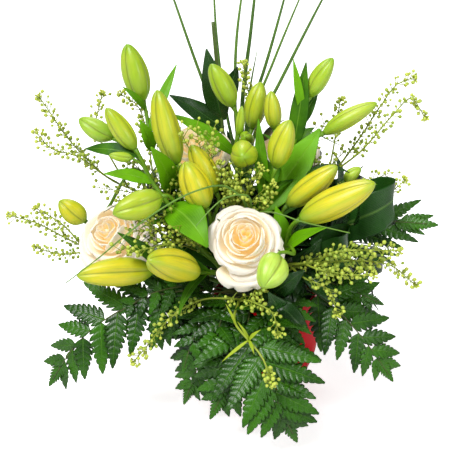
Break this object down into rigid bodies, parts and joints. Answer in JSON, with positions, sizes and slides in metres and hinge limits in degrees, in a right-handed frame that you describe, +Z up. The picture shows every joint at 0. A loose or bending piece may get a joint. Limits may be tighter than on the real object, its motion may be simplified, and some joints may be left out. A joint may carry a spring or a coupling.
{
  "type": "lily bouquet",
  "caption": "Lily buds, cream roses, leatherleaf fern, pod sprays and grass standing in wet foam in a small tapering red pot.",
  "frame": {"origin": "middle of the pot's flat foot", "axes": "+Z up, -Y toward the front of the arrangement, +X to the front view's right"},
  "size_m": [0.4896, 0.4069, 0.5224],
  "materials": {
    "red_glaze": "glossy",
    "wet_foam": "wet, finely porous",
    "lily_leaf": "satin",
    "bud_green": "satin",
    "bud_pale": "satin",
    "bud_yellow": "satin",
    "rose_petal": "soft",
    "rose_leaf": "satin",
    "fern_leaf": "glossy",
    "grass_blade": "satin",
    "ruscus_leaf": "glossy",
    "aspidistra_leaf": "glossy",
    "pod_green": "satin"
  },
  "bodies": {
    "root": {"aspidistra_leaf_1": "aspidistra_leaf", "aspidistra_leaf_2": "aspidistra_leaf", "fern_frond_1": "fern_leaf", "fern_frond_2": "fern_leaf", "fern_frond_3": "fern_leaf", "fern_frond_4": "fern_leaf", "fern_frond_5": "fern_leaf", "fern_frond_6": "fern_leaf", "fern_frond_7": "fern_leaf", "fern_frond_8": "fern_leaf", "floral_foam": "wet_foam", "grass_bunch_back": "grass_blade", "grass_bunch_front": "grass_blade", "lily_bud_01": "bud_green", "lily_bud_02": "bud_pale", "lily_bud_03": "bud_yellow", "lily_bud_04": "bud_yellow", "lily_bud_05": "bud_pale", "lily_bud_06": "bud_green", "lily_bud_07": "bud_pale", "lily_bud_08": "bud_yellow", "lily_bud_09": "bud_green", "lily_bud_10": "bud_green", "lily_bud_11": "bud_green", "lily_bud_12": "bud_pale", "lily_bud_13": "bud_pale", "lily_bud_14": "bud_green", "lily_bud_15": "bud_green", "lily_bud_16": "bud_yellow", "lily_bud_17": "bud_yellow", "lily_bud_18": "bud_pale", "lily_bud_19": "bud_yellow", "lily_bud_20": "bud_yellow", "lily_bud_21": "bud_pale", "lily_bud_22": "bud_yellow", "lily_stem_1": "lily_leaf", "lily_stem_2": "lily_leaf", "lily_stem_3": "lily_leaf", "lily_stem_4": "lily_leaf", "lily_stem_5": "lily_leaf", "lily_stem_6": "lily_leaf", "lily_stem_7": "lily_leaf", "lily_stem_8": "lily_leaf", "pod_spray_1": "pod_green", "pod_spray_2": "pod_green", "pod_spray_3": "pod_green", "pod_spray_4": "pod_green", "pod_spray_5": "pod_green", "pod_spray_6": "pod_green", "pod_spray_7": "pod_green", "pot": "red_glaze", "rose_bloom_1": "rose_petal", "rose_bloom_2": "rose_petal", "rose_bloom_3": "rose_petal", "rose_bloom_4": "rose_petal", "rose_stem_1": "rose_leaf", "rose_stem_2": "rose_leaf", "rose_stem_3": "rose_leaf", "rose_stem_4": "rose_leaf", "ruscus_stem": "ruscus_leaf"}
  },
  "joints": []
}
